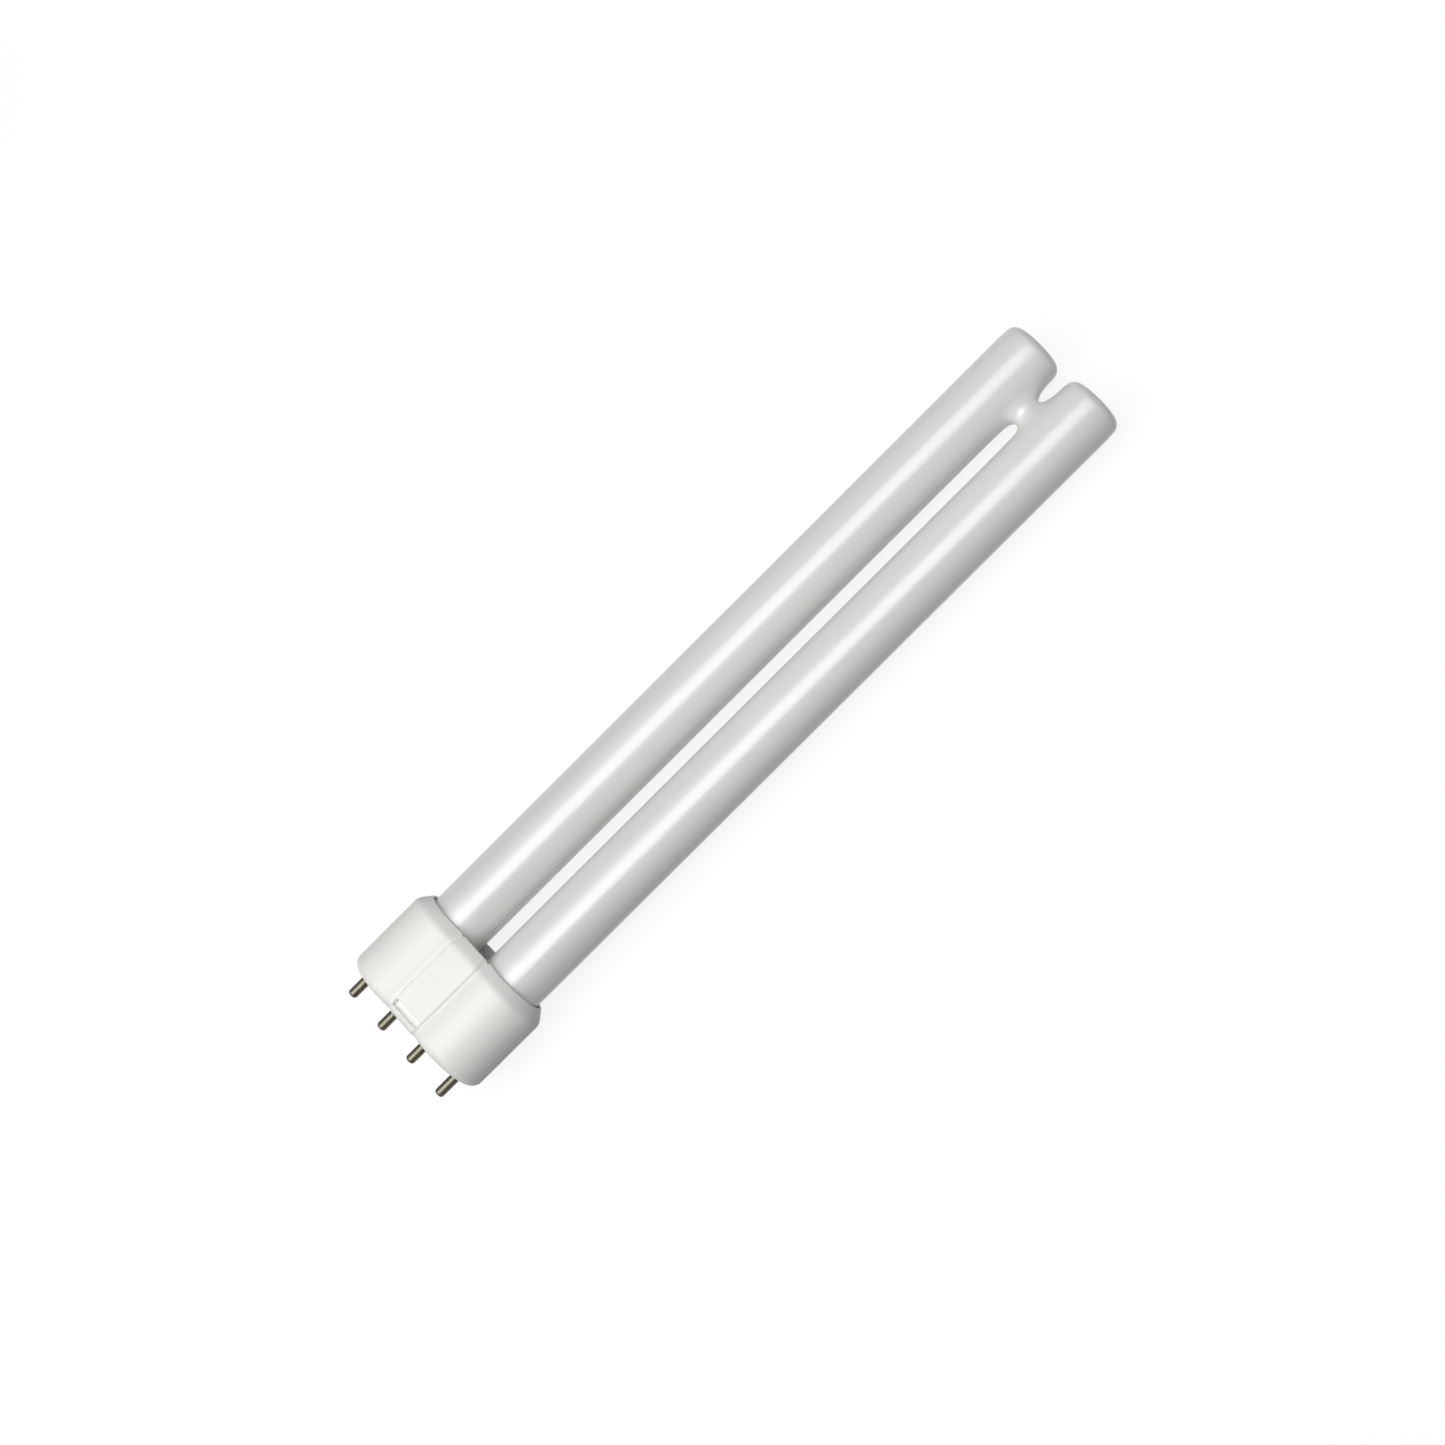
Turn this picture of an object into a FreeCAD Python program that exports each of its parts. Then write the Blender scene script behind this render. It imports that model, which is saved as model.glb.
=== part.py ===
import FreeCAD, Part
import math
import os

# Four pin compact fluorescent lamp: two parallel glass limbs joined by a short bridge,
# cemented into a moulded cap that has four contact pins in one row.
# All sizes are in millimetres. Each piece is modelled on the lamp's centre line, with
# X across the two limbs, Y from the cap's end face to the limbs' tips, and Z up.
# The last step lays the lamp down on its broad side, with its lowest line at Z = 0.

# Discharge tube
lamp_length = 220.0
limb_diameter = 16.2
limb_slot = 3.8
tip_rounding = 2.6
bridge_drop = 13.7
bridge_diameter = 6.8
bridge_flare = 1.5
press_height = 3.5
press_width = 12.0
press_thickness = 2.8
press_taper = 4.0

# Cap moulding
cap_height = 25.0
cap_depth = 23.0
cap_floor = 2.5
heel_rounding = 2.6
shoulder_height = 3.4
collar_lip = 0.5
panel_width = 9.2
panel_inset = 0.5
panel_bevel = 1.0
socket_wall = 0.9
pocket_depth = 9.0
pocket_front_wall = 3.0
notch_width = 9.0
notch_height = 2.6
notch_depth = 1.5
notch_drop = 1.5

# Cement between each limb and its socket
cement_thickness = 0.6
cement_from_mouth = 2.0
cement_from_limb_end = 1.0

# Contact pins
pin_pitch = 11.0
pin_diameter = 2.5
pin_reach = 6.6
pin_tip_chamfer = 0.8
pin_root_diameter = 3.4
pin_root_rise = 0.8
pin_root_clearance = 0.2

# Lead-in wires
wire_diameter = 0.5
wire_pair_spacing = 5.0
wire_room = 5.0
wire_end_recess = 0.3
wire_straight_share = 0.3

# A turned rounding is drawn as this many short cones
tip_steps = 3
heel_steps = 2

# How much longer a cutting tool is than the thing that it cuts
tool_margin = 1.0

limb_radius = limb_diameter / 2
limb_spacing = limb_diameter + limb_slot
limb_x = limb_spacing / 2
press_start = cap_floor + wire_room
press_end = press_start + press_height
limb_round_start = press_end + press_taper
bridge_y = lamp_length - bridge_drop

socket_radius = limb_radius + cement_thickness
collar_radius = socket_radius + collar_lip
lobe_radius = cap_depth / 2
shoulder_start = cap_height - shoulder_height
shoulder_width = lobe_radius - collar_radius
panel_half_depth = lobe_radius - panel_inset
panel_top_half_depth = panel_half_depth - shoulder_width

pin_radius = pin_diameter / 2
pin_root_radius = pin_root_diameter / 2
pin_root_top = cap_floor + pin_root_rise
wire_radius = wire_diameter / 2

overall_length = lamp_length + pin_reach


def point(x, y, z=0.0):
    return FreeCAD.Vector(x, y, z)


def rounded_corner(last, corner, following, rounding, steps):
    """Points round one corner of an outline, from where its rounding starts to where it ends."""
    if rounding == 0:
        return [corner]
    back = (last - corner).normalize()
    ahead = (following - corner).normalize()
    half_angle = back.getAngle(ahead) / 2
    reach = rounding / math.tan(half_angle)
    centre = corner + (back + ahead).normalize() * (rounding / math.sin(half_angle))
    start_spoke = corner + back * reach - centre
    end_spoke = corner + ahead * reach - centre
    sweep = math.pi - 2 * half_angle
    places = []
    for step in range(steps + 1):
        swept = sweep * step / steps
        spoke = start_spoke * math.sin(sweep - swept) + end_spoke * math.sin(swept)
        places.append(centre + spoke * (1 / math.sin(sweep)))
    return places


def outline(corners, steps=0):
    """Closed wire in the XY plane through corners given as (x, y, rounding).

    Each rounding is one arc or, where steps are asked for, that many straight sides.
    """
    stretches = []
    for index, (x, y, rounding) in enumerate(corners):
        last = point(*corners[index - 1][:2])
        following = point(*corners[(index + 1) % len(corners)][:2])
        stretches.append(rounded_corner(last, point(x, y), following, rounding, steps or 2))
    edges = []
    for index, stretch in enumerate(stretches):
        if steps or len(stretch) == 1:
            for start, end in zip(stretch, stretch[1:]):
                edges.append(Part.LineSegment(start, end).toShape())
        else:
            edges.append(Part.Arc(*stretch).toShape())
        following = stretches[(index + 1) % len(stretches)]
        edges.append(Part.LineSegment(stretch[-1], following[0]).toShape())
    return Part.Wire(edges)


def turned(corners, x, steps=0):
    """Solid turned about the lengthwise line at x, from corners (radius, y, rounding)."""
    section = Part.Face(outline(corners, steps))
    solid = section.revolve(point(0, 0), point(0, 1), 360)
    solid.translate(point(x, 0))
    return solid


def prism_across(corners, half_width):
    """Prism along X from an outline of corners (z, y, rounding)."""
    face = Part.Face(outline(corners))
    face.rotate(point(0, 0), point(0, 1), -90)
    face.translate(point(-half_width, 0))
    return face.extrude(point(2 * half_width, 0))


def prism_through(corners, half_depth):
    """Prism along Z from an outline of corners (x, y, rounding)."""
    face = Part.Face(outline(corners))
    face.translate(point(0, 0, -half_depth))
    return face.extrude(point(0, 0, 2 * half_depth))


def prism_along(corners, y_low, y_high):
    """Prism along Y from an outline of corners (x, z, rounding)."""
    face = Part.Face(outline(corners))
    face.rotate(point(0, 0), point(1, 0), 90)
    face.translate(point(0, y_low))
    return face.extrude(point(0, y_high - y_low))


def rod(radius, x, y_low, y_high):
    """Round rod along Y."""
    return Part.makeCylinder(radius, y_high - y_low, point(x, y_low), point(0, 1))


def squeezed(half_size):
    """Outline that narrows from clear of the limb down to a pressed end of this half size."""
    clear = limb_radius + tool_margin
    above = lamp_length + tool_margin
    slope = (limb_radius - half_size) / press_taper
    taper_end = limb_round_start + tool_margin / slope
    return [
        (half_size, press_start, 0),
        (half_size, press_end, 0),
        (clear, taper_end, 0),
        (clear, above, 0),
        (-clear, above, 0),
        (-clear, taper_end, 0),
        (-half_size, press_end, 0),
        (-half_size, press_start, 0),
    ]


def limb(x):
    """One glass limb: round, with a flat rounded tip and a pressed lower end."""
    corners = [
        (0, press_start, 0),
        (limb_radius, press_start, 0),
        (limb_radius, lamp_length, tip_rounding),
        (0, lamp_length, 0),
    ]
    glass = turned(corners, 0, tip_steps)
    clear = limb_radius + tool_margin
    glass = glass.common(prism_across(squeezed(press_thickness / 2), clear))
    glass = glass.common(prism_through(squeezed(press_width / 2), clear))
    glass.translate(point(x, 0))
    return glass


def wire_places():
    """Each wire's number, its place in the pressed end and the place of its pin."""
    places = []
    for side in (-1, 1):
        for step in (-1, 1):
            number = len(places) + 1
            seal_x = side * limb_x + step * wire_pair_spacing / 2
            pin_x = side * pin_pitch + step * pin_pitch / 2
            places.append((number, seal_x, pin_x))
    return places


def discharge_tube():
    """Both limbs and the bridge that the glass is blown and fused into, as one piece."""
    neck = Part.makeCylinder(
        bridge_diameter / 2, limb_spacing, point(-limb_x, bridge_y), point(1, 0)
    )
    glass = limb(-limb_x).fuse([limb(limb_x), neck]).removeSplitter()
    flare_edges = []
    for edge in glass.Edges:
        box = edge.BoundBox
        near_slot = max(abs(box.XMin), abs(box.XMax)) < limb_x
        at_bridge = abs(box.Center.y - bridge_y) < bridge_diameter
        if near_slot and at_bridge and box.YLength < 2 * bridge_diameter:
            flare_edges.append(edge)
    return glass.makeChamfer(bridge_flare, flare_edges)


def cap_lobe(x):
    """Round end of the cap, turned about a limb's own centre line."""
    corners = [
        (0, 0, 0),
        (lobe_radius, 0, heel_rounding),
        (lobe_radius, shoulder_start, 0),
        (collar_radius, cap_height, 0),
        (0, cap_height, 0),
    ]
    return turned(corners, x, heel_steps)


def cap_panel():
    """Flat panel between the lobes, with the same heel and shoulder as they have."""
    side_view = [
        (-panel_half_depth, 0, heel_rounding),
        (panel_half_depth, 0, heel_rounding),
        (panel_half_depth, shoulder_start, 0),
        (panel_top_half_depth, cap_height, 0),
        (-panel_top_half_depth, cap_height, 0),
        (-panel_half_depth, shoulder_start, 0),
    ]
    flat_x = panel_width / 2
    wide_x = flat_x + panel_bevel
    bevel_z = panel_half_depth - panel_bevel
    end_view = [
        (-flat_x, -panel_half_depth, 0),
        (flat_x, -panel_half_depth, 0),
        (wide_x, -bevel_z, 0),
        (wide_x, bevel_z, 0),
        (flat_x, panel_half_depth, 0),
        (-flat_x, panel_half_depth, 0),
        (-wide_x, bevel_z, 0),
        (-wide_x, -bevel_z, 0),
    ]
    return prism_across(side_view, wide_x).common(prism_along(end_view, 0, cap_height))


def centre_pocket():
    """Moulding pocket between the two sockets, cored from the cap's mouth."""
    bottom = cap_height - pocket_depth
    top = cap_height + tool_margin
    half_depth = panel_half_depth - pocket_front_wall
    half_width = panel_width / 2
    block = Part.makeBox(
        2 * half_width, top - bottom, 2 * half_depth, point(-half_width, bottom, -half_depth)
    )
    wall_radius = socket_radius + socket_wall
    walls = [
        rod(wall_radius, -limb_x, bottom, top),
        rod(wall_radius, limb_x, bottom, top),
    ]
    return block.cut(walls)


def holding_notch(side):
    """Notch low on a broad face, where the lampholder's spring catches."""
    floor_z = panel_half_depth - notch_depth
    outer_z = lobe_radius + tool_margin
    corners = [
        (side * floor_z, notch_drop, 0),
        (side * outer_z, notch_drop, 0),
        (side * outer_z, notch_drop + notch_height, 0),
        (side * floor_z, notch_drop + notch_height, 0),
    ]
    return prism_across(corners, notch_width / 2)


def cap_housing():
    """Moulded cap: two lobes and a panel, cored from the mouth, with four pin bores."""
    cap = cap_lobe(-limb_x).fuse([cap_lobe(limb_x), cap_panel()]).removeSplitter()
    tools = [
        rod(socket_radius, -limb_x, cap_floor, cap_height + tool_margin),
        rod(socket_radius, limb_x, cap_floor, cap_height + tool_margin),
        centre_pocket(),
        holding_notch(-1),
        holding_notch(1),
    ]
    room_radius = pin_root_radius + pin_root_clearance
    for _, _, pin_x in wire_places():
        tools.append(rod(pin_root_radius, pin_x, -tool_margin, cap_floor + tool_margin))
        tools.append(rod(room_radius, pin_x, cap_floor, press_start))
    return cap.cut(tools).removeSplitter()


def contact_pin(x):
    """Hollow brass pin, its thicker root pressed into the cap's floor, swaged onto its wire."""
    corners = [
        (wire_radius, -pin_reach, 0),
        (pin_radius - pin_tip_chamfer, -pin_reach, 0),
        (pin_radius, pin_tip_chamfer - pin_reach, 0),
        (pin_radius, 0, 0),
        (pin_root_radius, 0, 0),
        (pin_root_radius, pin_root_top, 0),
        (wire_radius, pin_root_top, 0),
    ]
    return turned(corners, x)


def lead_wire(seal_x, pin_x):
    """Wire from where it leaves the pressed glass to the pin's tip, in straight runs."""
    drop = press_start - pin_root_top
    route = [
        point(seal_x, press_start),
        point(seal_x, press_start - wire_straight_share * drop),
        point(pin_x, pin_root_top + wire_straight_share * drop),
        point(pin_x, wire_end_recess - pin_reach),
    ]
    section = Part.Wire(Part.makeCircle(wire_radius, route[0], point(0, -1)))
    mitred = 1
    return Part.makePolygon(route).makePipeShell([section], True, True, mitred)


def cement_ring(x):
    """Cement that fills the gap between a limb and its socket."""
    low = limb_round_start + cement_from_limb_end
    high = cap_height - cement_from_mouth
    return rod(socket_radius, x, low, high).cut(rod(limb_radius, x, low, high))


def write(name, shape):
    """Lays one finished piece down and writes its file."""
    solids = shape.Solids
    if len(solids) != 1 or not shape.isValid():
        raise ValueError(name + " is not one valid solid")
    piece = solids[0]
    piece.translate(point(0, pin_reach - overall_length / 2, lobe_radius))
    piece.exportStep("parts/" + name + ".step")
    print(name, "volume", round(piece.Volume, 2), "mm3")


os.makedirs("parts", exist_ok=True)
write("discharge_tube", discharge_tube())
write("cap_housing", cap_housing())
write("left_cement", cement_ring(-limb_x))
write("right_cement", cement_ring(limb_x))
for number, seal_x, pin_x in wire_places():
    write("contact_pin_" + str(number), contact_pin(pin_x))
    write("lead_wire_" + str(number), lead_wire(seal_x, pin_x))
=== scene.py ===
import math

import bmesh
import bpy
from mathutils import Matrix, Vector


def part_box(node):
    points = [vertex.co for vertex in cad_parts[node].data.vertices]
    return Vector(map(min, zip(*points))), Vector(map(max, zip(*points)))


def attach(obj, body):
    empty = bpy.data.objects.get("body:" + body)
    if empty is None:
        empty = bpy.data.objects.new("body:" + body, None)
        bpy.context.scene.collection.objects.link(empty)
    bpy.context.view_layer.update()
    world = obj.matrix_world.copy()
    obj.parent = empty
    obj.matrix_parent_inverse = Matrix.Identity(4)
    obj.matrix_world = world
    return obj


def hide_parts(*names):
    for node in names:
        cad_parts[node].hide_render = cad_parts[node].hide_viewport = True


bl_info = {
    "name": "Four pin compact fluorescent lamp",
    "version": (1, 0, 0),
    "blender": (4, 5, 0),
    "location": "View3D > Sidebar > Lamp",
    "description": "Dresses the lamp's frame in coated glass, moulded plastic and brass, on a pale floor",
    "category": "Object",
}

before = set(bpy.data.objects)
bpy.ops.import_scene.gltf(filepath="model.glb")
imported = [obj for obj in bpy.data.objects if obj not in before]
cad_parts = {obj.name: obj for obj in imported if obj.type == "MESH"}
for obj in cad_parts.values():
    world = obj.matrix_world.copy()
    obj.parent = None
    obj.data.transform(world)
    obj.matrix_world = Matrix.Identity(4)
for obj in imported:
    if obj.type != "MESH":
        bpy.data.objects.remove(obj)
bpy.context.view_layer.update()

MM = 0.001
ROOT = "root"

# Sizes and places that the frame already has, in metres
tube_low, tube_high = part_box("discharge_tube")
cap_low, cap_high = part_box("cap_housing")
axis_z = (tube_low.z + tube_high.z) / 2
limb_radius = (tube_high.z - tube_low.z) / 2
limb_x = tube_high.x - limb_radius
tips_y = tube_high.y
press_y = tube_low.y
end_face_y = cap_low.y
mouth_y = cap_high.y
lobe_radius = (cap_high.z - cap_low.z) / 2
pin_nodes = sorted(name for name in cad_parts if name.startswith("contact_pin_"))
wire_nodes = sorted(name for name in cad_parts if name.startswith("lead_wire_"))
cement_nodes = ["left_cement", "right_cement"]

# Values nearer than this are the same place
SAME_PLACE = 0.01 * MM
# Corners nearer than these are merged: after a union, after the cuts and after the finest bevel
UNION_SEAM = 0.001 * MM
CUT_SLIVER = 0.02 * MM
BEVEL_SEAM = 0.002 * MM
# How far a cutting tool reaches past the face that it starts from
MARGIN = 1 * MM
# A face whose normal has more than this along the lamp looks along it
LOOKS_ALONG = 0.99
# An edge longer than this along the lamp runs along it
RUNS_ALONG = 0.1 * MM
# Faces that turn by less than the first of these are one flat; by more than the others, an edge
FLAT_ANGLE = math.radians(0.5)
GROOVE_ANGLE = math.radians(15)
SMOOTH_ANGLE = math.radians(30)
RIM_ANGLE = math.radians(40)


def linear(colour):
    """Linear red, green and blue of an sRGB colour written as #rrggbb."""
    parts = [int(colour[place:place + 2], 16) / 255 for place in (1, 3, 5)]
    return [part / 12.92 if part <= 0.04045 else ((part + 0.055) / 1.055) ** 2.4 for part in parts]


def length(name, description, default):
    """A size given in millimetres, for a property group that holds metres."""
    return bpy.props.FloatProperty(
        name=name, description=description, default=default * MM, unit="LENGTH", precision=5
    )


def angle(name, description, default):
    """An angle given in degrees, for a property group."""
    return bpy.props.FloatProperty(
        name=name, description=description, default=math.radians(default), unit="ROTATION"
    )


def colour(name, description, default):
    """A colour given as sRGB hex, for a property group."""
    return bpy.props.FloatVectorProperty(
        name=name, description=description, default=linear(default), subtype="COLOR",
        size=3, min=0.0, max=1.0
    )


def amount(name, description, default):
    """A plain number, for a property group."""
    return bpy.props.FloatProperty(name=name, description=description, default=default)


class TubeSettings(bpy.types.PropertyGroup):
    """The glass tube: two limbs and the bridge between them."""

    tip_rounding: length("Tip rounding", "Radius round each limb's flat tip", 2.8)
    bridge_drop: length("Bridge drop", "From the tips down to the bridge's middle", 13.7)
    bridge_waist: length("Bridge waist", "Diameter of the bridge at its narrowest", 6.8)
    bridge_flare: length("Bridge flare", "How far the bridge widens onto each limb", 1.4)
    bridge_rise: length("Bridge rise", "How much further it widens towards the tips", 1.6)
    press_height: length("Press height", "Height of the pressed lower end", 3.5)
    press_width: length("Press width", "Width of the pressed lower end", 12.0)
    press_thickness: length("Press thickness", "Thickness of the pressed lower end", 2.8)
    press_taper: length("Press taper", "Height over which the glass turns round again", 4.0)


class CapSettings(bpy.types.PropertyGroup):
    """The moulded cap."""

    floor: length("Floor", "Thickness of the cap's end wall", 2.5)
    heel_rounding: length("Heel rounding", "Radius round the end face", 2.6)
    shoulder_height: length("Shoulder height", "Height of the slope at the mouth", 2.9)
    shoulder_width: length("Shoulder width", "How far the slope draws in", 2.3)
    shoulder_rounding: length("Shoulder rounding", "Rounding between wall and slope", 0.9)
    socket_gap: length("Socket gap", "Room between a limb and its socket", 0.6)
    socket_wall: length("Socket wall", "Wall between socket and centre pocket", 0.9)
    panel_width: length("Panel width", "Width of the flat panel's face", 8.6)
    panel_inset: length("Panel inset", "How far the panel lies below the lobes", 0.5)
    panel_bevel: length("Panel bevel", "Bevel along the panel's sides", 1.4)
    groove_softness: length("Groove softness", "Rounding along the grooves beside the panel", 0.6)
    notch_softness: length("Notch softness", "Rounding round the holding notch", 0.45)
    pocket_depth: length("Pocket depth", "Depth of the pocket between the sockets", 9.0)
    pocket_front_wall: length("Pocket front wall", "Wall in front of the pocket", 3.0)
    web_drop: length("Web drop", "How far the webs beside the pocket end below the mouth", 2.0)
    notch_width: length("Notch width", "Width of the holding notch", 9.0)
    notch_height: length("Notch height", "Height of the holding notch", 2.6)
    notch_depth: length("Notch depth", "Depth of the holding notch", 1.5)
    notch_drop: length("Notch drop", "From the end face up to the notch", 1.5)
    edge_softness: length("Edge softness", "Most that the rims at the mouth and webs are rounded", 0.18)


class PinSettings(bpy.types.PropertyGroup):
    """The contact pins."""

    diameter: length("Diameter", "Diameter of a pin's shaft", 2.5)
    tip_rounding: length("Tip rounding", "Radius round a pin's tip", 0.8)
    bore: length("Bore", "Diameter of the hole at the tip", 0.62)
    bore_depth: length("Bore depth", "Depth of the hole at the tip, round the wire's end", 0.6)


class FinishSettings(bpy.types.PropertyGroup):
    """Colours of the real materials."""

    glass: colour("Coated glass", "White phosphor seen through the glass", "#E4E4E2")
    plastic: colour("Cap plastic", "White of the moulded cap", "#F4F4F1")
    cement: colour("Cement", "Pale grey basing cement", "#C9C5BA")
    brass: colour("Brass", "Dull, slightly olive brass of the pins", "#676457")
    wire: colour("Lead wire", "Nickel plated lead-in wire", "#A9A6A0")


class StageSettings(bpy.types.PropertyGroup):
    """Camera, lights, cards and floor."""

    camera_distance: length("Camera distance", "From the camera to the lamp's middle", 654.1)
    camera_turn: angle("Camera turn", "How far the view is turned about the lamp's length", -17.538)
    camera_tilt: angle("Camera tilt", "How far the view is tilted along the lamp's length", 2.445)
    camera_roll: angle("Camera roll", "How far the lamp leans from upright in the picture", -0.107)
    picture_lean: angle("Picture lean", "Turn of the whole picture", -45.0)
    camera_across: length("Camera across", "Middle of the lamp to the right of the aim", -0.815)
    camera_up: length("Camera up", "Middle of the lamp above the aim", 6.173)
    field_of_view: angle("Field of view", "Across the square picture", 29.46)
    floor_size: length("Floor size", "Side of the square floor", 6000.0)
    floor_colour: colour("Floor", "Floor under the lamp, as other surfaces see it", "#787878")
    floor_lift: amount("Floor lift", "Added brightness where the floor is looked at", 0.86)
    key_power: amount("Key power", "Power of the broad soft box above, in watts", 5.9)
    strip_power: amount("Strip power", "Power of the strip that the glass mirrors, in watts", 5.8)
    tip_power: amount("Tip strip power", "Power of the fainter strip beyond the tips, in watts", 2.1)
    world_level: amount("World level", "Even light from all round", 0.30)
    card_colour: colour("Cards", "Dark cards beside the lamp that give its white edges a line", "#1A1A1A")


GROUPS = {
    "lamp_tube": TubeSettings,
    "lamp_cap": CapSettings,
    "lamp_pin": PinSettings,
    "lamp_finish": FinishSettings,
    "lamp_stage": StageSettings,
}


def deselect():
    """Nothing is selected, and no mesh is open for editing."""
    if bpy.context.object and bpy.context.object.mode != "OBJECT":
        bpy.ops.object.mode_set(mode="OBJECT")
    bpy.ops.object.select_all(action="DESELECT")


def pick(piece):
    """Selects one piece alone and makes it the active one."""
    deselect()
    piece.select_set(True)
    bpy.context.view_layer.objects.active = piece


def edit(piece):
    """Opens one piece for editing with all of it selected."""
    pick(piece)
    bpy.ops.object.mode_set(mode="EDIT")
    bpy.ops.mesh.select_all(action="SELECT")


def choose(kind, test):
    """Selects just the edges or faces of the open mesh that pass the test."""
    bpy.ops.mesh.select_mode(type=kind)
    bpy.ops.mesh.select_all(action="DESELECT")
    open_mesh = bpy.context.object.data
    shape = bmesh.from_edit_mesh(open_mesh)
    elements = {"EDGE": shape.edges, "FACE": shape.faces}[kind]
    found = [element for element in elements if test(element)]
    for element in found:
        element.select_set(True)
    shape.select_flush_mode()
    bmesh.update_edit_mesh(open_mesh)
    if not found:
        raise RuntimeError("nothing to select on " + bpy.context.object.name)


def near(value, target, room=SAME_PLACE):
    """Whether a value lies within some room of a target."""
    return abs(value - target) < room


def lies_at(edge, y):
    """Whether both ends of an edge lie at one place along the lamp."""
    return all(near(corner.co.y, y) for corner in edge.verts)


def looks_along(face, way, y):
    """Whether a face at one place along the lamp looks towards its tips (1) or its pins (-1)."""
    return face.normal.y * way > LOOKS_ALONG and near(face.calc_center_median().y, y)


def extrude(offset):
    """Extrudes what is selected by an offset in metres."""
    bpy.ops.mesh.extrude_region_move(TRANSFORM_OT_translate={"value": offset})


def round_bar(name, radius, x, low_y, high_y, sides):
    """Round bar along the lamp's length, its place in its mesh."""
    deselect()
    bpy.ops.mesh.primitive_cylinder_add(
        vertices=sides,
        radius=radius,
        depth=high_y - low_y,
        location=(x, (low_y + high_y) / 2, axis_z),
        rotation=(-math.pi / 2, 0, 0),
    )
    bar = bpy.context.object
    bar.name = name
    bpy.ops.object.transform_apply(location=True, rotation=True, scale=True)
    return bar


def block(name, low, high):
    """Square block between two corners, its place in its mesh."""
    deselect()
    bpy.ops.mesh.primitive_cube_add(size=1, location=(low + high) / 2, scale=high - low)
    piece = bpy.context.object
    piece.name = name
    bpy.ops.object.transform_apply(location=True, rotation=True, scale=True)
    return piece


def apply_modifier(piece, kind, **settings):
    """Adds one modifier and applies it."""
    pick(piece)
    modifier = piece.modifiers.new(kind.title(), kind)
    for name, value in settings.items():
        setattr(modifier, name, value)
    bpy.ops.object.modifier_apply(modifier=modifier.name)


def combine(piece, tool, operation):
    """Joins a tool to a piece or cuts it away, and throws the tool away."""
    apply_modifier(piece, "BOOLEAN", object=tool, operation=operation, solver="EXACT")
    bpy.data.objects.remove(tool)


def smooth_by_angle(piece):
    """Shades a piece smooth and leaves its real edges sharp."""
    pick(piece)
    bpy.ops.object.shade_smooth_by_angle(angle=SMOOTH_ANGLE)


def finish_piece(piece, material, nodes):
    """Gives a piece its material, lets it ride and stand for its nodes."""
    piece.data.materials.clear()
    piece.data.materials.append(material)
    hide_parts(*nodes)
    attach(piece, ROOT)


def new_material(name):
    """A plain node material and its Principled shader."""
    material = bpy.data.materials.new(name)
    material.use_nodes = True
    return material, material.node_tree.nodes["Principled BSDF"]


def add_node(tree, kind, inputs=None, **settings):
    """Adds one node, with its settings and with values or links for its inputs."""
    node = tree.nodes.new(kind)
    for name, value in settings.items():
        setattr(node, name, value)
    for socket, value in (inputs or {}).items():
        if isinstance(value, bpy.types.NodeSocket):
            tree.links.new(value, node.inputs[socket])
        else:
            node.inputs[socket].default_value = value
    return node


def opaque(rgb, share=1.0):
    """A colour socket's value, at a share of its brightness."""
    return (rgb[0] * share, rgb[1] * share, rgb[2] * share, 1.0)


def coated_glass(finish):
    """Drawn soda glass, with phosphor powder washed in and baked on its inside."""
    # To the eye it is chalky white under a soft gloss, and nothing shows through
    material, shader = new_material("phosphor_coated_glass")
    tree = material.node_tree
    place = add_node(tree, "ShaderNodeTexCoord").outputs["Object"]
    # The powder is washed in from one end, so its density drifts slowly along the tube
    drift_across = 16.7 * MM
    drift_along = 71.4 * MM
    stretched = add_node(
        tree,
        "ShaderNodeMapping",
        {"Vector": place, "Scale": (1 / drift_across, 1 / drift_along, 1 / drift_across)},
    )
    drift = add_node(
        tree,
        "ShaderNodeTexNoise",
        {"Vector": stretched.outputs["Vector"], "Scale": 1.0, "Detail": 3.0},
    )
    tint = add_node(
        tree,
        "ShaderNodeMix",
        {"Factor": drift.outputs["Fac"], "A": opaque(finish.glass, 0.96), "B": opaque(finish.glass, 1.03)},
        data_type="RGBA",
    )
    tree.links.new(tint.outputs["Result"], shader.inputs["Base Color"])
    shader.inputs["Roughness"].default_value = 0.5
    shader.inputs["Specular IOR Level"].default_value = 0.2
    shader.inputs["Coat Weight"].default_value = 0.8
    shader.inputs["Coat Roughness"].default_value = 0.2
    shader.inputs["Coat IOR"].default_value = 1.52
    return material


def cap_plastic(finish):
    """PBT, moulded in a spark-eroded tool."""
    # To the eye it is an even, slightly warm white, whose grain spreads its shine
    material, shader = new_material("moulded_pbt")
    tree = material.node_tree
    place = add_node(tree, "ShaderNodeTexCoord").outputs["Object"]
    # Real grain is about 0.05 mm wide, too fine to show, so it is drawn at 0.35 mm
    grain_width = 0.35 * MM
    grain_height = 0.05 * MM
    grain = add_node(
        tree, "ShaderNodeTexNoise", {"Vector": place, "Scale": 1 / grain_width, "Detail": 2.0}
    )
    bump = add_node(
        tree,
        "ShaderNodeBump",
        {"Height": grain.outputs["Fac"], "Strength": 0.12, "Distance": grain_height},
    )
    tree.links.new(bump.outputs["Normal"], shader.inputs["Normal"])
    shader.inputs["Base Color"].default_value = opaque(finish.plastic)
    shader.inputs["Roughness"].default_value = 0.5
    shader.inputs["Specular IOR Level"].default_value = 0.35
    return material


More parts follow.
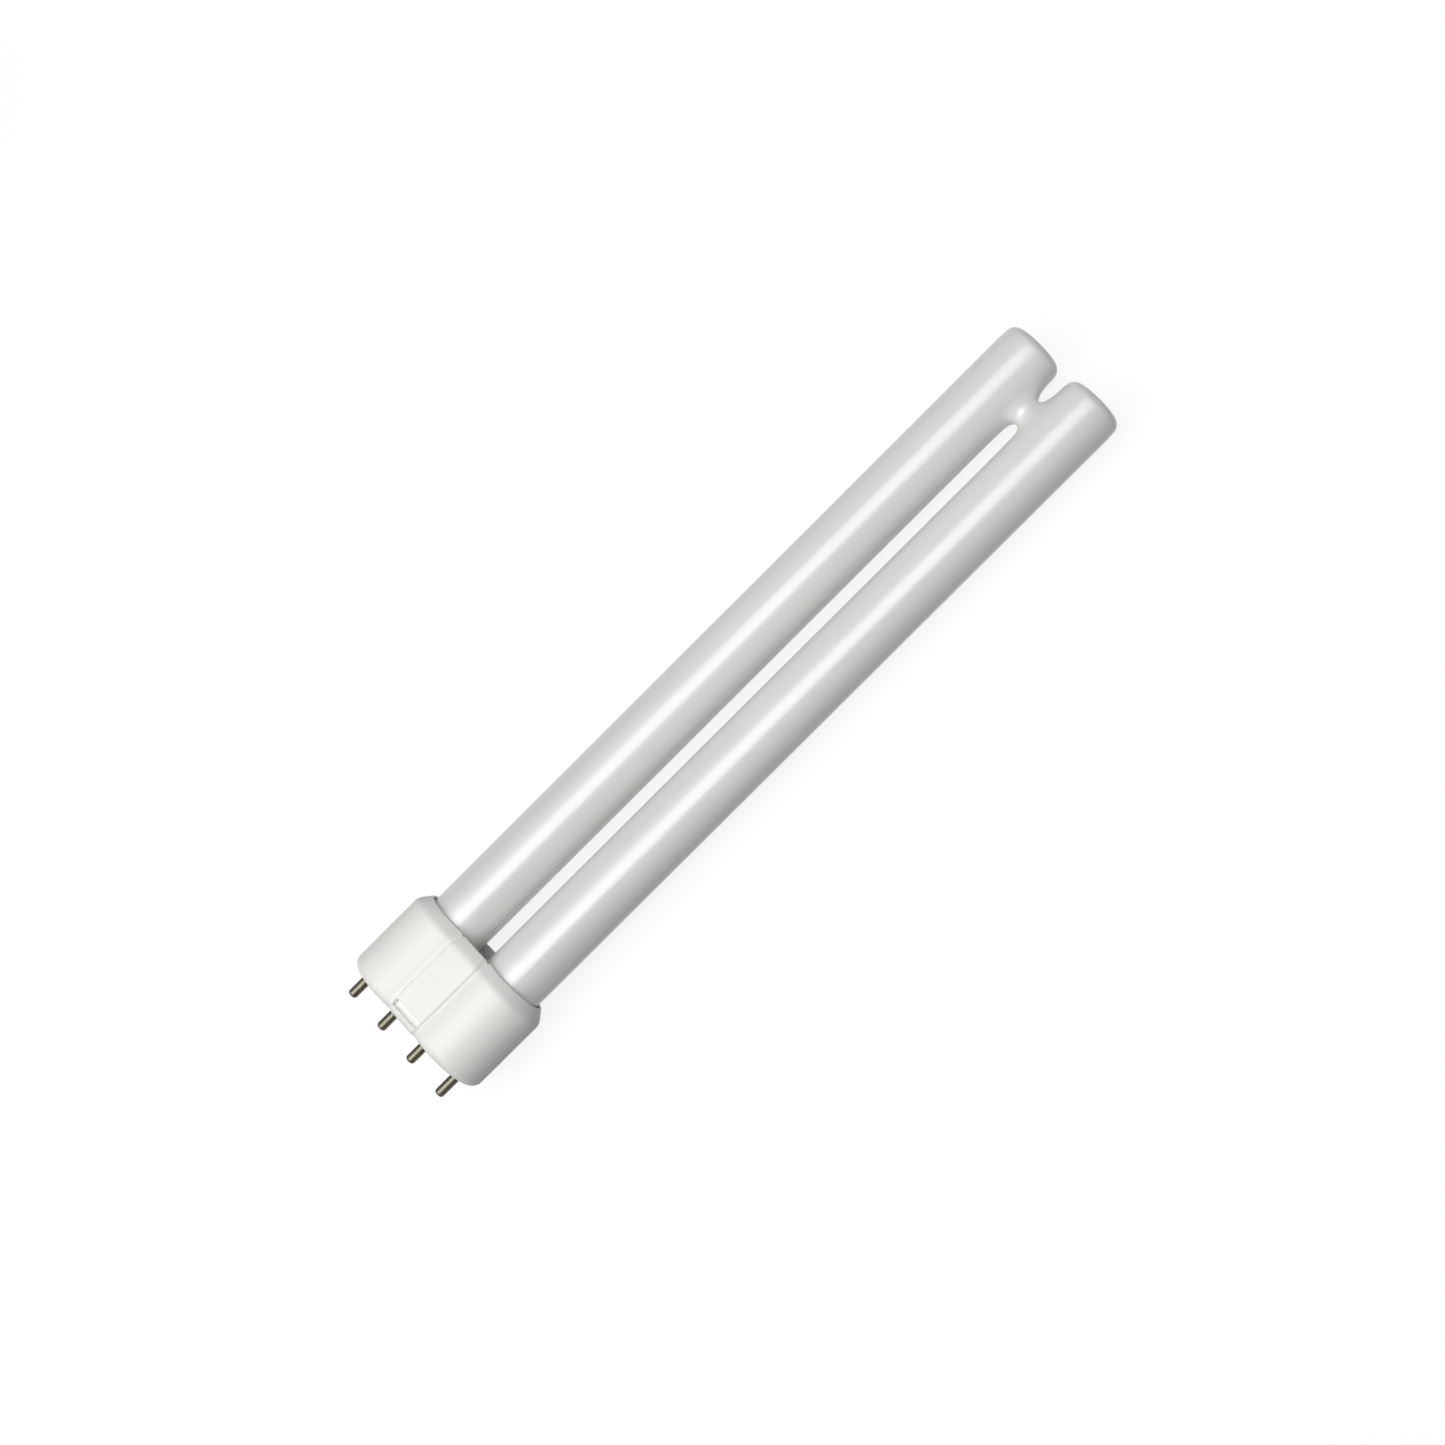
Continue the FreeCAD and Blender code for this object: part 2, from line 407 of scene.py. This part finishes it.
def basing_cement(finish):
    """Basing cement, baked hard round the limbs."""
    # To the eye it is dry, pale grey and speckled with grit
    material, shader = new_material("basing_cement")
    tree = material.node_tree
    place = add_node(tree, "ShaderNodeTexCoord").outputs["Object"]
    # Real grit is about 0.1 mm, too fine to show, so it is drawn at 0.4 mm
    grit_size = 0.4 * MM
    grit = add_node(
        tree, "ShaderNodeTexNoise", {"Vector": place, "Scale": 1 / grit_size, "Detail": 4.0}
    )
    tint = add_node(
        tree,
        "ShaderNodeMix",
        {"Factor": grit.outputs["Fac"], "A": opaque(finish.cement, 0.8), "B": opaque(finish.cement, 1.1)},
        data_type="RGBA",
    )
    tree.links.new(tint.outputs["Result"], shader.inputs["Base Color"])
    shader.inputs["Roughness"].default_value = 0.9
    return material


def pin_brass(finish):
    """Brass rod, turned and tumbled, then dulled by handling."""
    # To the eye it is a dark olive metal with broad glints and a few duller patches
    material, shader = new_material("dull_brass")
    tree = material.node_tree
    place = add_node(tree, "ShaderNodeTexCoord").outputs["Object"]
    patch_size = 1.6 * MM
    tarnish = add_node(
        tree, "ShaderNodeTexNoise", {"Vector": place, "Scale": 1 / patch_size, "Detail": 4.0}
    )
    tint = add_node(
        tree,
        "ShaderNodeMix",
        {"Factor": tarnish.outputs["Fac"], "A": opaque(finish.brass, 0.8), "B": opaque(finish.brass, 1.1)},
        data_type="RGBA",
    )
    tree.links.new(tint.outputs["Result"], shader.inputs["Base Color"])
    shader.inputs["Metallic"].default_value = 1.0
    shader.inputs["Roughness"].default_value = 0.45
    return material


def nickel_wire(finish):
    """Nickel plated lead-in wire, drawn and slightly oxidised."""
    # To the eye it is a pale grey metal, whose shine comes and goes along the wire
    material, shader = new_material("nickel_wire")
    tree = material.node_tree
    place = add_node(tree, "ShaderNodeTexCoord").outputs["Object"]
    patch_size = 0.8 * MM
    oxide = add_node(
        tree, "ShaderNodeTexNoise", {"Vector": place, "Scale": 1 / patch_size, "Detail": 3.0}
    )
    dullness = add_node(
        tree,
        "ShaderNodeMapRange",
        {"Value": oxide.outputs["Fac"], "To Min": 0.3, "To Max": 0.5},
    )
    tree.links.new(dullness.outputs["Result"], shader.inputs["Roughness"])
    shader.inputs["Base Color"].default_value = opaque(finish.wire)
    shader.inputs["Metallic"].default_value = 1.0
    return material


# The glass is a smooth surface drawn inside a cage, and a ring of so many sides shrinks to this share
CAGE_SIDES = 16
CAGE_TO_GLASS = (2 + math.cos(2 * math.pi / CAGE_SIDES)) / 3
RING_SIDES = 8
RING_TO_GLASS = (2 + math.cos(2 * math.pi / RING_SIDES)) / 3
# Share of a limb's radius from the edge of its flat tip in to a ring that keeps the tip flat
TIP_RING_SHARE = 0.3
# Cage faces that lie further than this share of the radius towards the other limb face it
FACES_OTHER_SHARE = 0.85


def bridge_opening(tube):
    """Radius of the cage's hole in each limb, from which the bridge grows."""
    return (tube.bridge_waist / 2 + tube.bridge_flare) / RING_TO_GLASS


def bridge_spoke(corner, bridge_y):
    """Direction from the bridge's middle line out to a corner of its cage."""
    return Vector((0, corner.co.y - bridge_y, corner.co.z - axis_z)).normalized()


def press_limb(limb, tube, x, radius):
    """Flattens the lower end of a limb's cage, where the real glass is pressed round its wires."""
    press_top = press_y + tube.press_height
    for corner in bmesh.from_edit_mesh(limb.data).verts:
        if corner.co.y < press_top + SAME_PLACE:
            corner.co.x = x + (corner.co.x - x) / radius * tube.press_width / 2
            corner.co.z = axis_z + (corner.co.z - axis_z) / radius * tube.press_thickness / 2


def open_limb(limb, tube, side, radius):
    """Opens a limb's cage towards the other limb with a round hole that reaches up to the tips."""
    x = side * limb_x
    bridge_y = tips_y - tube.bridge_drop
    opening = bridge_opening(tube)
    choose(
        "FACE",
        lambda face: near(face.calc_center_median().y, bridge_y, opening)
        and (face.calc_center_median().x - x) * -side > radius * FACES_OTHER_SHARE,
    )
    bpy.ops.mesh.delete(type="FACE")
    for corner in bmesh.from_edit_mesh(limb.data).verts:
        if corner.is_boundary:
            spoke = bridge_spoke(corner, bridge_y)
            corner.co.y = bridge_y + spoke.y * opening + max(spoke.y, 0) * tube.bridge_rise
            corner.co.z = axis_z + spoke.z * opening
            corner.co.x = x - side * math.sqrt(radius ** 2 - (spoke.z * opening) ** 2)


def limb_cage(tube, side):
    """Cage of one limb: flat rounded tip above, pressed end below, open where the bridge joins."""
    x = side * limb_x
    radius = limb_radius / CAGE_TO_GLASS
    bridge_y = tips_y - tube.bridge_drop
    opening = bridge_opening(tube)
    diagonal = math.sin(math.pi / 4)
    press_top = press_y + tube.press_height
    limb = round_bar("limb", radius, x, press_y, tips_y, CAGE_SIDES)
    edit(limb)
    rings = (
        press_top,
        press_top + tube.press_taper,
        mouth_y,
        bridge_y - 2 * opening,
        bridge_y - opening * diagonal,
        bridge_y,
        bridge_y + opening * diagonal + tube.bridge_rise * diagonal,
    )
    for y in rings:
        bpy.ops.mesh.select_all(action="SELECT")
        bpy.ops.mesh.bisect(plane_co=(0, y, 0), plane_no=(0, 1, 0))
    choose("EDGE", lambda edge: lies_at(edge, tips_y))
    bpy.ops.mesh.bevel(offset=tube.tip_rounding, segments=3, affect="EDGES")
    choose("FACE", lambda face: looks_along(face, 1, tips_y))
    bpy.ops.mesh.inset(thickness=limb_radius * TIP_RING_SHARE)
    press_limb(limb, tube, x, radius)
    open_limb(limb, tube, side, radius)
    deselect()
    return limb


class LAMP_OT_discharge_tube(bpy.types.Operator):
    """Both glass limbs and the bridge that joins them, as one smooth blown piece"""

    bl_idname = "lamp.discharge_tube"
    bl_label = "Coated glass tube"

    def execute(self, context):
        tube = context.scene.lamp_tube
        left = limb_cage(tube, -1)
        right = limb_cage(tube, 1)
        left.select_set(True)
        right.select_set(True)
        context.view_layer.objects.active = left
        bpy.ops.object.join()
        glass = context.object
        glass.name = "coated_glass_tube"
        edit(glass)
        choose("EDGE", lambda edge: edge.is_boundary)
        bpy.ops.mesh.bridge_edge_loops(number_cuts=1, interpolation="LINEAR")
        # The smooth surface's waist is two thirds of its middle ring and one third of its openings
        waist = tube.bridge_waist / 2 / RING_TO_GLASS
        waist_ring = (3 * waist - bridge_opening(tube)) / 2
        bridge_y = tips_y - tube.bridge_drop
        for corner in bmesh.from_edit_mesh(glass.data).verts:
            if near(corner.co.x, 0):
                spoke = bridge_spoke(corner, bridge_y)
                corner.co.y = bridge_y + spoke.y * waist_ring
                corner.co.z = axis_z + spoke.z * waist_ring
        bpy.ops.mesh.select_all(action="SELECT")
        bpy.ops.mesh.normals_make_consistent(inside=False)
        apply_modifier(glass, "SUBSURF", levels=3, render_levels=3)
        bpy.ops.object.shade_smooth()
        finish_piece(glass, coated_glass(context.scene.lamp_finish), ["discharge_tube"])
        return {"FINISHED"}


LOBE_SIDES = 128
SOCKET_SIDES = 96
PIN_SIDES = 48
FLARE_STEPS = 4
# A slanting direction, along which no two corners of the cap lie equally far
ORDER_WAY = Vector((0.62, 1.0, 0.37))


def cap_outer_form(cap):
    """The cap's outside: two round lobes and a flat panel, heel rounded and shoulder sloped."""
    panel_half_depth = lobe_radius - cap.panel_inset
    half_width = cap.panel_width / 2 + cap.panel_bevel
    form = block(
        "cap_moulding",
        Vector((-half_width, end_face_y, axis_z - panel_half_depth)),
        Vector((half_width, mouth_y, axis_z + panel_half_depth)),
    )
    edit(form)
    choose("EDGE", lambda edge: not near(edge.verts[0].co.y, edge.verts[1].co.y))
    bpy.ops.mesh.bevel(offset=cap.panel_bevel, segments=1, affect="EDGES")
    for side in (-1, 1):
        lobe = round_bar("lobe", lobe_radius, side * limb_x, end_face_y, mouth_y, LOBE_SIDES)
        combine(form, lobe, "UNION")
    edit(form)
    bpy.ops.mesh.remove_doubles(threshold=UNION_SEAM)
    bpy.ops.mesh.dissolve_limited(angle_limit=FLAT_ANGLE)
    choose("EDGE", lambda edge: lies_at(edge, end_face_y))
    bpy.ops.mesh.bevel(offset=cap.heel_rounding, segments=8, affect="EDGES")
    choose("FACE", lambda face: looks_along(face, 1, mouth_y))
    bpy.ops.mesh.inset(thickness=cap.shoulder_width)
    inner = {corner.index for corner in bmesh.from_edit_mesh(form.data).verts if corner.select}
    shoulder_y = mouth_y - cap.shoulder_height
    for corner in bmesh.from_edit_mesh(form.data).verts:
        if near(corner.co.y, mouth_y) and corner.index not in inner:
            corner.co.y = shoulder_y
    choose("EDGE", lambda edge: lies_at(edge, shoulder_y))
    bpy.ops.mesh.bevel(offset=cap.shoulder_rounding, segments=5, affect="EDGES")
    choose(
        "EDGE",
        lambda edge: abs(edge.verts[0].co.y - edge.verts[1].co.y) > RUNS_ALONG
        and all(abs(corner.co.x) < half_width for corner in edge.verts)
        and edge.calc_face_angle() > GROOVE_ANGLE,
    )
    bpy.ops.mesh.bevel(offset=cap.groove_softness, segments=4, affect="EDGES", clamp_overlap=True)
    deselect()
    return form


def socket_tool(cap, side):
    """Tool for the socket that one limb stands in."""
    socket_radius = limb_radius + cap.socket_gap
    floor_y = end_face_y + cap.floor
    return round_bar("socket", socket_radius, side * limb_x, floor_y, mouth_y + MARGIN, SOCKET_SIDES)


def pocket_tool(cap):
    """Tool for the pocket between the sockets: an hourglass that widens above the webs' tops."""
    half_depth = lobe_radius - cap.panel_inset - cap.pocket_front_wall
    half_width = limb_x / 2
    pocket_floor_y = mouth_y - cap.pocket_depth
    tool = block(
        "pocket_tool",
        Vector((-half_width, pocket_floor_y, axis_z - half_depth)),
        Vector((half_width, mouth_y + MARGIN, axis_z + half_depth)),
    )
    wall_radius = limb_radius + cap.socket_gap + cap.socket_wall
    web_tops_y = mouth_y - cap.web_drop
    for side in (-1, 1):
        wall = round_bar(
            "wall", wall_radius, side * limb_x, pocket_floor_y - MARGIN, web_tops_y, SOCKET_SIDES
        )
        combine(tool, wall, "DIFFERENCE")
    return tool


def notch_tool(cap, side):
    """Tool for the holding notch on one broad face: rounded inside, flaring out to its rim."""
    soft = cap.notch_softness
    # A little less than the corners' rounding, so that the two bevels don't meet
    floor_soft = 0.9 * soft
    face_z = axis_z + side * (lobe_radius - cap.panel_inset)
    floor_z = face_z - side * cap.notch_depth
    rim_z = face_z - side * soft
    low_y = end_face_y + cap.notch_drop
    high_y = low_y + cap.notch_height
    middle_y = (low_y + high_y) / 2
    half_width = cap.notch_width / 2 - soft
    tool = block(
        "notch_tool",
        Vector((-half_width, low_y + soft, min(floor_z, rim_z))),
        Vector((half_width, high_y - soft, max(floor_z, rim_z))),
    )
    edit(tool)
    choose("EDGE", lambda edge: not near(edge.verts[0].co.z, edge.verts[1].co.z))
    bpy.ops.mesh.bevel(offset=soft, segments=4, affect="EDGES")
    choose("EDGE", lambda edge: all(near(corner.co.z, floor_z) for corner in edge.verts))
    bpy.ops.mesh.bevel(offset=floor_soft, segments=4, affect="EDGES")
    choose("FACE", lambda face: near(face.calc_center_median().z, rim_z))
    risen = 0
    widened = 0
    for step in range(1, FLARE_STEPS + 1):
        swept = step / FLARE_STEPS * math.pi / 2
        rise = soft * math.sin(swept) - risen
        widening = soft * (1 - math.cos(swept)) - widened
        extrude((0, 0, side * rise))
        for corner in bmesh.from_edit_mesh(tool.data).verts:
            if corner.select:
                corner.co.x += math.copysign(widening, corner.co.x)
                corner.co.y += math.copysign(widening, corner.co.y - middle_y)
        risen += rise
        widened += widening
    extrude((0, 0, side * MARGIN))
    deselect()
    return tool


def bore_tool(cap, node):
    """Tool for the bore in the cap's floor that holds one pin's root."""
    start_y = end_face_y - MARGIN
    end_y = end_face_y + cap.floor + MARGIN
    return round_bar("bore", pin_root_radius(node), pin_x(node), start_y, end_y, PIN_SIDES)


def settle_order(piece):
    """Orders an open mesh by its corners' places, which cuts and bevels list anew in each run."""
    shape = bmesh.from_edit_mesh(piece.data)
    shape.verts.sort(key=lambda corner: corner.co.dot(ORDER_WAY))
    shape.edges.sort(key=lambda edge: (edge.verts[0].co + edge.verts[1].co).dot(ORDER_WAY))
    shape.faces.sort(key=lambda face: face.calc_center_median().dot(ORDER_WAY))
    bmesh.update_edit_mesh(piece.data)


def soften_rims(form, cap):
    """Rounds the cap's rims at its mouth and on the webs' tops, as far as they are wide enough."""
    edit(form)
    settle_order(form)
    # Slivers that the cuts leave would hold the bevel back to nothing
    bpy.ops.mesh.remove_doubles(threshold=CUT_SLIVER)
    bpy.ops.mesh.dissolve_limited(angle_limit=FLAT_ANGLE)
    web_tops_y = mouth_y - cap.web_drop
    choose(
        "EDGE",
        lambda edge: edge.calc_face_angle() > RIM_ANGLE
        and (lies_at(edge, mouth_y) or lies_at(edge, web_tops_y)),
    )
    bpy.ops.mesh.bevel(offset=cap.edge_softness, segments=2, affect="EDGES", clamp_overlap=True)
    bpy.ops.mesh.select_all(action="SELECT")
    settle_order(form)
    bpy.ops.mesh.remove_doubles(threshold=BEVEL_SEAM)


class LAMP_OT_cap(bpy.types.Operator):
    """The moulded cap with its sockets, pocket, notches and pin bores"""

    bl_idname = "lamp.cap"
    bl_label = "Cap moulding"

    def execute(self, context):
        cap = context.scene.lamp_cap
        form = cap_outer_form(cap)
        for side in (-1, 1):
            combine(form, socket_tool(cap, side), "DIFFERENCE")
            combine(form, notch_tool(cap, side), "DIFFERENCE")
        combine(form, pocket_tool(cap), "DIFFERENCE")
        for node in pin_nodes:
            combine(form, bore_tool(cap, node), "DIFFERENCE")
        soften_rims(form, cap)
        smooth_by_angle(form)
        finish_piece(form, cap_plastic(context.scene.lamp_finish), ["cap_housing"])
        return {"FINISHED"}


def pin_x(node):
    """Where a pin stands across the cap."""
    low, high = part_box(node)
    return (low.x + high.x) / 2


def pin_root_radius(node):
    """Radius of a pin's root, which fills its bore in the cap's floor."""
    low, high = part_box(node)
    return (high.x - low.x) / 2


def model_pin(sizes, node):
    """One turned pin: root in the cap's floor, round shaft, rounded tip with its bore."""
    low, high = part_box(node)
    root_radius = pin_root_radius(node)
    pin = round_bar("pin", root_radius, pin_x(node), end_face_y, high.y, PIN_SIDES)
    edit(pin)
    choose("FACE", lambda face: looks_along(face, -1, end_face_y))
    bpy.ops.mesh.inset(thickness=root_radius - sizes.diameter / 2)
    extrude((0, low.y - end_face_y, 0))
    choose("EDGE", lambda edge: lies_at(edge, low.y))
    bpy.ops.mesh.bevel(offset=sizes.tip_rounding, segments=6, affect="EDGES")
    choose("FACE", lambda face: looks_along(face, -1, low.y))
    flat_radius = sizes.diameter / 2 - sizes.tip_rounding
    bpy.ops.mesh.inset(thickness=flat_radius - sizes.bore / 2)
    extrude((0, sizes.bore_depth, 0))
    smooth_by_angle(pin)
    return pin


class LAMP_OT_pins(bpy.types.Operator):
    """The four contact pins, modelled once and copied"""

    bl_idname = "lamp.pins"
    bl_label = "Contact pins"

    def execute(self, context):
        first = model_pin(context.scene.lamp_pin, pin_nodes[0])
        brass = pin_brass(context.scene.lamp_finish)
        first_x = pin_x(pin_nodes[0])
        pins = [first]
        for node in pin_nodes[1:]:
            pin = first.copy()
            pin.data = first.data.copy()
            context.collection.objects.link(pin)
            pin.data.transform(Matrix.Translation((pin_x(node) - first_x, 0, 0)))
            pins.append(pin)
        # Named and finished last, because a copy would also stand for the first pin's node
        for pin, node in zip(pins, pin_nodes):
            pin.name = node.replace("contact_pin", "brass_pin")
            finish_piece(pin, brass, [node])
        return {"FINISHED"}


class LAMP_OT_inner_finishes(bpy.types.Operator):
    """Materials of the cement and the lead-in wires, whose shapes stay as they are"""

    bl_idname = "lamp.inner_finishes"
    bl_label = "Cement and wires"

    def execute(self, context):
        finish = context.scene.lamp_finish
        for nodes, material in (
            (cement_nodes, basing_cement(finish)),
            (wire_nodes, nickel_wire(finish)),
        ):
            for node in nodes:
                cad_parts[node].data.materials.clear()
                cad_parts[node].data.materials.append(material)
        return {"FINISHED"}


WHITE = (1, 1, 1, 1)
# How far in from a tip's end its rounding starts to leave the floor
TIP_CONTACT = 2 * MM
# Soft box above the lamp, nearer its cap than its tips, in metres
KEY_PLACE = (-0.05, -0.28, 0.75)
KEY_WIDTH = 0.7
KEY_DEPTH = 1.2
# Two strips in one line above the lamp's length, in metres
STRIP_X = 0.04
STRIP_Z = 0.79
STRIP_START_Y = -0.75
STRIP_SPLIT_Y = 0.15
STRIP_END_Y = 0.60
STRIP_WIDTH = 0.50
TIP_STRIP_WIDTH = 0.55
# Name of each dark card, the place of its middle, its height and its depth, in metres
CARDS = (
    ("right_card", (0.18, -0.34, 0.19), 0.38, 0.52),
    ("left_card", (-0.30, -0.26, 0.17), 0.34, 0.48),
)


def ray_shows_background(tree):
    """1 for rays that show the background, straight or mirrored, and 0 for rays that light."""
    path = add_node(tree, "ShaderNodeLightPath")
    seen = add_node(
        tree,
        "ShaderNodeMath",
        {0: path.outputs["Is Camera Ray"], 1: path.outputs["Is Glossy Ray"]},
        operation="MAXIMUM",
    )
    shown = add_node(
        tree,
        "ShaderNodeMath",
        {0: seen.outputs["Value"], 1: path.outputs["Is Transmission Ray"]},
        operation="MAXIMUM",
    )
    return shown.outputs["Value"]


def pale_floor(stage):
    """Matt white paper, which lights the lamp as a mid grey."""
    # To the eye it is an even white with only the lamp's faint shadow on it
    material, shader = new_material("pale_floor")
    tree = material.node_tree
    lift = add_node(
        tree,
        "ShaderNodeMath",
        {0: ray_shows_background(tree), 1: stage.floor_lift},
        operation="MULTIPLY",
    )
    tree.links.new(lift.outputs["Value"], shader.inputs["Emission Strength"])
    shader.inputs["Base Color"].default_value = opaque(stage.floor_colour)
    shader.inputs["Roughness"].default_value = 0.9
    shader.inputs["Specular IOR Level"].default_value = 0.0
    shader.inputs["Emission Color"].default_value = WHITE
    return material


def black_velvet(stage):
    """Velvet on card."""
    # To the eye it is black with no shine, and white plastic and glass beside it darken
    material, shader = new_material("black_velvet")
    shader.inputs["Base Color"].default_value = opaque(stage.card_colour)
    shader.inputs["Roughness"].default_value = 0.95
    return material


def add_floor(stage, cap):
    """Floor that leans by a degree, because the lamp lies on its cap's shoulder line and its tips."""
    rest_y = mouth_y - cap.shoulder_height
    lean = math.atan2(tube_low.z, tips_y - TIP_CONTACT - rest_y)
    deselect()
    bpy.ops.mesh.primitive_plane_add(
        size=stage.floor_size, location=(0, rest_y, 0), rotation=(lean, 0, 0)
    )
    floor = bpy.context.object
    floor.name = "floor"
    floor.data.materials.append(pale_floor(stage))


def light_world(stage):
    """Even light from all round, and plain white where the world itself is seen."""
    scene = bpy.context.scene
    scene.world = scene.world or bpy.data.worlds.new("studio")
    scene.world.use_nodes = True
    tree = scene.world.node_tree
    level = add_node(
        tree,
        "ShaderNodeMapRange",
        {"Value": ray_shows_background(tree), "To Min": stage.world_level, "To Max": 1.0},
    )
    background = tree.nodes["Background"]
    background.inputs["Color"].default_value = WHITE
    tree.links.new(level.outputs["Result"], background.inputs["Strength"])


def add_soft_box(name, place, aim, width, depth, power):
    """One rectangular soft light that points at a spot on the lamp."""
    bpy.ops.object.light_add(type="AREA", location=place)
    light = bpy.context.object
    light.name = name
    light.data.shape = "RECTANGLE"
    light.data.size = width
    light.data.size_y = depth
    light.data.energy = power
    light.rotation_euler = (Vector(place) - Vector(aim)).to_track_quat("Z", "Y").to_euler()
    return light


def add_lights(stage):
    """The soft box, and two strips that only glossy surfaces show, so that the shading stays even."""
    add_soft_box("key", KEY_PLACE, (0, 0, 0), KEY_WIDTH, KEY_DEPTH, stage.key_power)
    for name, near_y, far_y, width, power in (
        ("strip", STRIP_START_Y, STRIP_SPLIT_Y, STRIP_WIDTH, stage.strip_power),
        ("tip_strip", STRIP_SPLIT_Y, STRIP_END_Y, TIP_STRIP_WIDTH, stage.tip_power),
    ):
        middle_y = (near_y + far_y) / 2
        place = (STRIP_X, middle_y, STRIP_Z)
        strip = add_soft_box(name, place, (STRIP_X, middle_y, 0), width, far_y - near_y, power)
        strip.visible_diffuse = False


def add_dark_cards(stage):
    """Cards that stand beside the lamp, out of sight, and draw a dark line along its white edges."""
    velvet = black_velvet(stage)
    for name, place, height, depth in CARDS:
        deselect()
        bpy.ops.mesh.primitive_plane_add(size=1, location=place, rotation=(0, math.pi / 2, 0))
        card = bpy.context.object
        card.name = name
        card.scale = (height, depth, 1)
        card.visible_camera = False
        card.data.materials.append(velvet)


def aim_camera(stage):
    """Puts the camera at the picture's angle, distance and framing."""
    turn = Matrix.Rotation(stage.camera_turn, 3, "Y")
    tilt = Matrix.Rotation(stage.camera_tilt, 3, "X")
    roll = Matrix.Rotation(stage.camera_roll, 3, "Z")
    to_view = roll @ tilt @ turn
    from_view = to_view.transposed()
    middle = Vector((0, (end_face_y + tips_y) / 2, axis_z))
    place = Vector((-stage.camera_across, -stage.camera_up, stage.camera_distance))
    lean = Matrix.Rotation(stage.picture_lean, 3, "Z").transposed()
    bpy.ops.object.camera_add()
    camera = bpy.context.object
    camera.data.angle = stage.field_of_view
    camera.matrix_world = Matrix.Translation(middle + from_view @ place) @ (from_view @ lean).to_4x4()
    bpy.context.scene.camera = camera


class LAMP_OT_stage(bpy.types.Operator):
    """Pale floor, soft lights, dark cards, plain world and the camera"""

    bl_idname = "lamp.stage"
    bl_label = "Stage"

    def execute(self, context):
        stage = context.scene.lamp_stage
        add_floor(stage, context.scene.lamp_cap)
        light_world(stage)
        add_lights(stage)
        add_dark_cards(stage)
        aim_camera(stage)
        context.scene.view_settings.view_transform = "Standard"
        return {"FINISHED"}


OPERATORS = (
    LAMP_OT_discharge_tube,
    LAMP_OT_cap,
    LAMP_OT_pins,
    LAMP_OT_inner_finishes,
    LAMP_OT_stage,
)


class LAMP_PT_panel(bpy.types.Panel):
    """Lists the lamp's pieces and its stage"""

    bl_idname = "LAMP_PT_panel"
    bl_label = "Compact fluorescent lamp"
    bl_space_type = "VIEW_3D"
    bl_region_type = "UI"
    bl_category = "Lamp"

    def draw(self, context):
        for operator in OPERATORS:
            self.layout.operator(operator.bl_idname)
        for group in GROUPS:
            box = self.layout.box()
            settings = getattr(context.scene, group)
            for name in settings.__annotations__:
                box.prop(settings, name)


def register():
    for name, group in GROUPS.items():
        bpy.utils.register_class(group)
        setattr(bpy.types.Scene, name, bpy.props.PointerProperty(type=group))
    for operator in OPERATORS:
        bpy.utils.register_class(operator)
    bpy.utils.register_class(LAMP_PT_panel)


def unregister():
    bpy.utils.unregister_class(LAMP_PT_panel)
    for operator in reversed(OPERATORS):
        bpy.utils.unregister_class(operator)
    for name, group in GROUPS.items():
        delattr(bpy.types.Scene, name)
        bpy.utils.unregister_class(group)


def main():
    """Makes every piece and the stage."""
    register()
    for operator in OPERATORS:
        family, name = operator.bl_idname.split(".")
        getattr(getattr(bpy.ops, family), name)()


if __name__ == "__main__":
    main()
